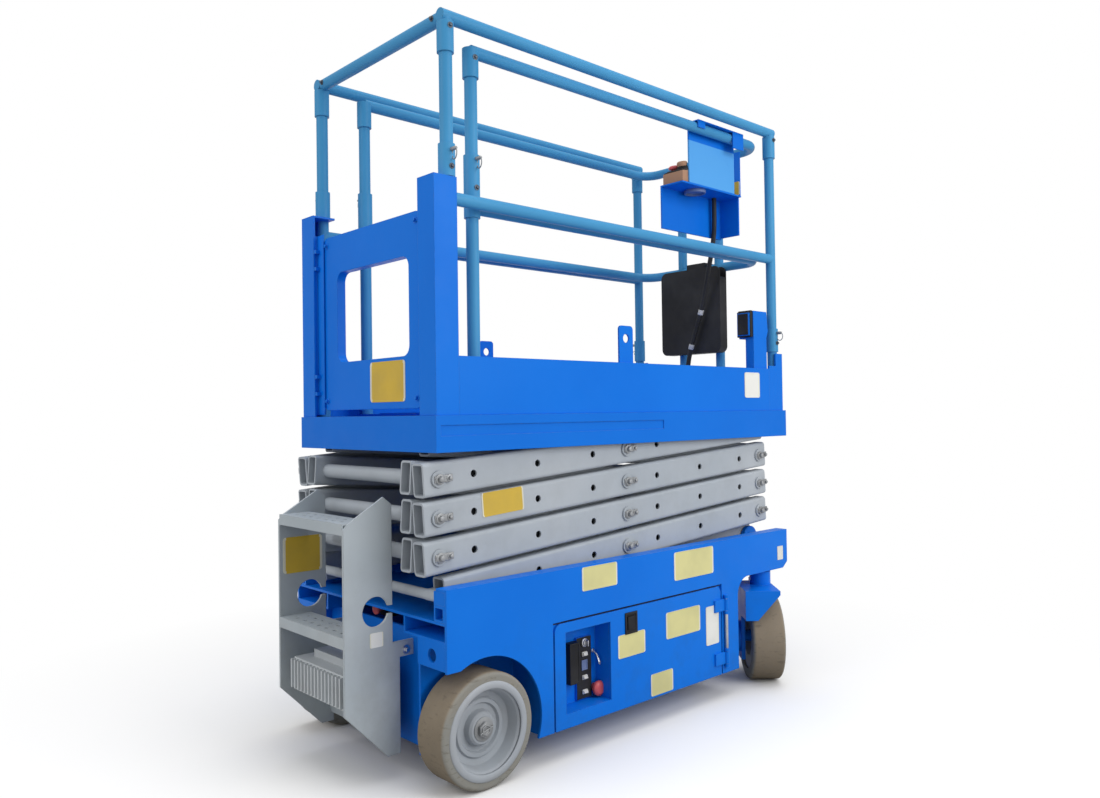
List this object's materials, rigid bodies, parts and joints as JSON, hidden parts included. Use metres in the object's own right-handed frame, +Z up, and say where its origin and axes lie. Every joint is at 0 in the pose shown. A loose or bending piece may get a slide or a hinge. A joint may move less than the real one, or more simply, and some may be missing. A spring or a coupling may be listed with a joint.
{
  "type": "self-propelled slab scissor lift",
  "caption": "Narrow electric scissor lift: wheeled chassis with swing-out trays, stacked scissor arms and a railed platform with a sliding extension deck.",
  "frame": {"origin": "on the floor under the middle of the machine's bounding box", "axes": "+X forward to the steered wheels, +Y to the left, +Z up"},
  "size_m": [1.798, 0.9902, 2.063],
  "materials": {
    "blue_paint": "gloss",
    "rail_blue": "gloss",
    "arm_grey": "satin",
    "ladder_grey": "satin",
    "charger_grey": "satin",
    "dark_parts": "satin",
    "steel": "brushed",
    "cylinder_grey": "satin",
    "chrome_rod": "polished",
    "tyre": "matte",
    "rim_grey": "satin"
  },
  "bodies": {
    "chassis": {"chassis_deck": "blue_paint", "arm_lugs": "blue_paint", "chassis_side_right": "blue_paint", "chassis_side_left": "blue_paint", "chassis_core": "blue_paint", "rear_axle": "steel", "entry_ladder": "ladder_grey", "battery_charger": "charger_grey"},
    "control_tray": {"control_tray": "blue_paint", "power_unit": "dark_parts", "control_panel": "blue_paint"},
    "battery_tray": {"battery_tray": "blue_paint", "battery_pack": "dark_parts"},
    "inner_arm_1": {"inner_arm_1": "arm_grey"},
    "inner_arm_2": {"inner_arm_2": "arm_grey"},
    "inner_arm_3": {"inner_arm_3": "arm_grey"},
    "inner_arm_4": {"inner_arm_4": "arm_grey"},
    "outer_arm_1": {"outer_arm_1": "arm_grey"},
    "outer_arm_2": {"outer_arm_2": "arm_grey"},
    "outer_arm_3": {"outer_arm_3": "arm_grey"},
    "outer_arm_4": {"outer_arm_4": "arm_grey"},
    "lift_barrel": {"cylinder_barrel": "cylinder_grey"},
    "lift_rod": {"cylinder_rod": "chrome_rod"},
    "platform": {"platform_floor": "blue_paint", "toe_boards": "blue_paint", "rear_corner_plates": "blue_paint", "front_corner_plates": "blue_paint", "main_rails": "rail_blue", "outlet_box": "blue_paint"},
    "gate": {"entry_gate": "blue_paint"},
    "extension": {"extension_floor": "blue_paint", "extension_rails": "rail_blue", "control_box": "blue_paint", "control_cable": "dark_parts", "document_box": "dark_parts"},
    "yoke_right": {"steer_yoke_right": "blue_paint"},
    "yoke_left": {"steer_yoke_left": "blue_paint"},
    "tie_rod": {"tie_rod": "steel"},
    "wheel_rear_right": {"tyre_rear_right": "tyre", "rim_rear_right": "rim_grey"},
    "wheel_rear_left": {"tyre_rear_left": "tyre", "rim_rear_left": "rim_grey"},
    "wheel_front_right": {"tyre_front_right": "tyre", "rim_front_right": "rim_grey"},
    "wheel_front_left": {"tyre_front_left": "tyre", "rim_front_left": "rim_grey"}
  },
  "joints": [
    {"name": "lift", "type": "hinge", "parent": "chassis", "child": "inner_arm_1", "pos_m": [0.744, 0, 0.51], "axis": [0, 1, 0], "range_deg": [0, 59.2]},
    {"name": "middle_pin_1", "type": "hinge", "parent": "inner_arm_1", "child": "outer_arm_1", "pos_m": [0.0175, 0, 0.561], "axis": [0, 1, 0], "range_deg": [-118.5, 0]},
    {"name": "front_pin_1", "type": "hinge", "parent": "outer_arm_1", "child": "inner_arm_2", "pos_m": [0.744, 0, 0.612], "axis": [0, 1, 0], "range_deg": [0, 118.5]},
    {"name": "middle_pin_2", "type": "hinge", "parent": "inner_arm_2", "child": "outer_arm_2", "pos_m": [0.0175, 0, 0.663], "axis": [0, 1, 0], "range_deg": [-118.5, 0]},
    {"name": "front_pin_2", "type": "hinge", "parent": "outer_arm_2", "child": "inner_arm_3", "pos_m": [0.744, 0, 0.714], "axis": [0, 1, 0], "range_deg": [0, 118.5]},
    {"name": "middle_pin_3", "type": "hinge", "parent": "inner_arm_3", "child": "outer_arm_3", "pos_m": [0.0175, 0, 0.765], "axis": [0, 1, 0], "range_deg": [-118.5, 0]},
    {"name": "front_pin_3", "type": "hinge", "parent": "outer_arm_3", "child": "inner_arm_4", "pos_m": [0.744, 0, 0.816], "axis": [0, 1, 0], "range_deg": [0, 118.5]},
    {"name": "middle_pin_4", "type": "hinge", "parent": "inner_arm_4", "child": "outer_arm_4", "pos_m": [0.0175, 0, 0.867], "axis": [0, 1, 0], "range_deg": [-118.5, 0]},
    {"name": "platform_pin", "type": "hinge", "parent": "outer_arm_4", "child": "platform", "pos_m": [0.744, 0, 0.918], "axis": [0, 1, 0], "range_deg": [0, 59.3]},
    {"name": "cylinder_foot", "type": "hinge", "parent": "inner_arm_1", "child": "lift_barrel", "pos_m": [-0.709, 0, 0.612], "axis": [0, 1, 0], "range_deg": [-124.21, 0]},
    {"name": "cylinder_rod", "type": "slide", "parent": "lift_barrel", "child": "lift_rod", "axis": [0.995, 0, 0.0997], "range_m": [0, 0.4204]},
    {"name": "extension_slide", "type": "slide", "parent": "platform", "child": "extension", "axis": [1, 0, 0], "range_m": [0, 0.91]},
    {"name": "gate_hinge", "type": "hinge", "parent": "platform", "child": "gate", "pos_m": [-0.691, 0.272, 1.25], "axis": [0, 0, 1], "range_deg": [0, 70]},
    {"name": "control_tray_hinge", "type": "hinge", "parent": "chassis", "child": "control_tray", "pos_m": [0.439, -0.408, 0.235], "axis": [0, 0, 1], "range_deg": [0, 90]},
    {"name": "battery_tray_hinge", "type": "hinge", "parent": "chassis", "child": "battery_tray", "pos_m": [0.439, 0.408, 0.235], "axis": [0, 0, -1], "range_deg": [0, 90]},
    {"name": "steering", "type": "hinge", "parent": "chassis", "child": "yoke_right", "pos_m": [0.729, -0.35, 0.33], "axis": [0, 0, 1], "range_deg": [-92, 0]},
    {"name": "steering_left", "type": "hinge", "parent": "chassis", "child": "yoke_left", "pos_m": [0.729, 0.35, 0.33], "axis": [0, 0, 1], "range_deg": [-92.1, 0]},
    {"name": "tie_rod_pin", "type": "hinge", "parent": "yoke_right", "child": "tie_rod", "pos_m": [0.81236, -0.26368, 0.337], "axis": [0, 0, 1], "range_deg": [0, 92.1]},
    {"name": "rear_right_spin", "type": "hinge", "parent": "chassis", "child": "wheel_rear_right", "pos_m": [-0.602, -0.35, 0.1525], "axis": [0, 1, 0], "continuous": true},
    {"name": "rear_left_spin", "type": "hinge", "parent": "chassis", "child": "wheel_rear_left", "pos_m": [-0.602, 0.35, 0.1525], "axis": [0, 1, 0], "continuous": true},
    {"name": "front_right_spin", "type": "hinge", "parent": "yoke_right", "child": "wheel_front_right", "pos_m": [0.729, -0.35, 0.1525], "axis": [-0.7193, 0.6947, 0], "continuous": true},
    {"name": "front_left_spin", "type": "hinge", "parent": "yoke_left", "child": "wheel_front_left", "pos_m": [0.729, 0.35, 0.1525], "axis": [-0.7193, 0.6947, 0], "continuous": true}
  ],
  "couplings": [
    {"joint": "middle_pin_1", "follows": "lift", "ratio": -2},
    {"joint": "front_pin_1", "follows": "lift", "ratio": 2},
    {"joint": "middle_pin_2", "follows": "lift", "ratio": -2},
    {"joint": "front_pin_2", "follows": "lift", "ratio": 2},
    {"joint": "middle_pin_3", "follows": "lift", "ratio": -2},
    {"joint": "front_pin_3", "follows": "lift", "ratio": 2},
    {"joint": "middle_pin_4", "follows": "lift", "ratio": -2},
    {"joint": "platform_pin", "follows": "lift", "ratio": 1},
    {"joint": "cylinder_foot", "follows": "lift", "ratio": -2.0947},
    {"joint": "cylinder_rod", "follows": "lift", "m_per_rad": 0.40595},
    {"joint": "steering_left", "follows": "steering", "ratio": 1},
    {"joint": "tie_rod_pin", "follows": "steering", "ratio": -1}
  ]
}
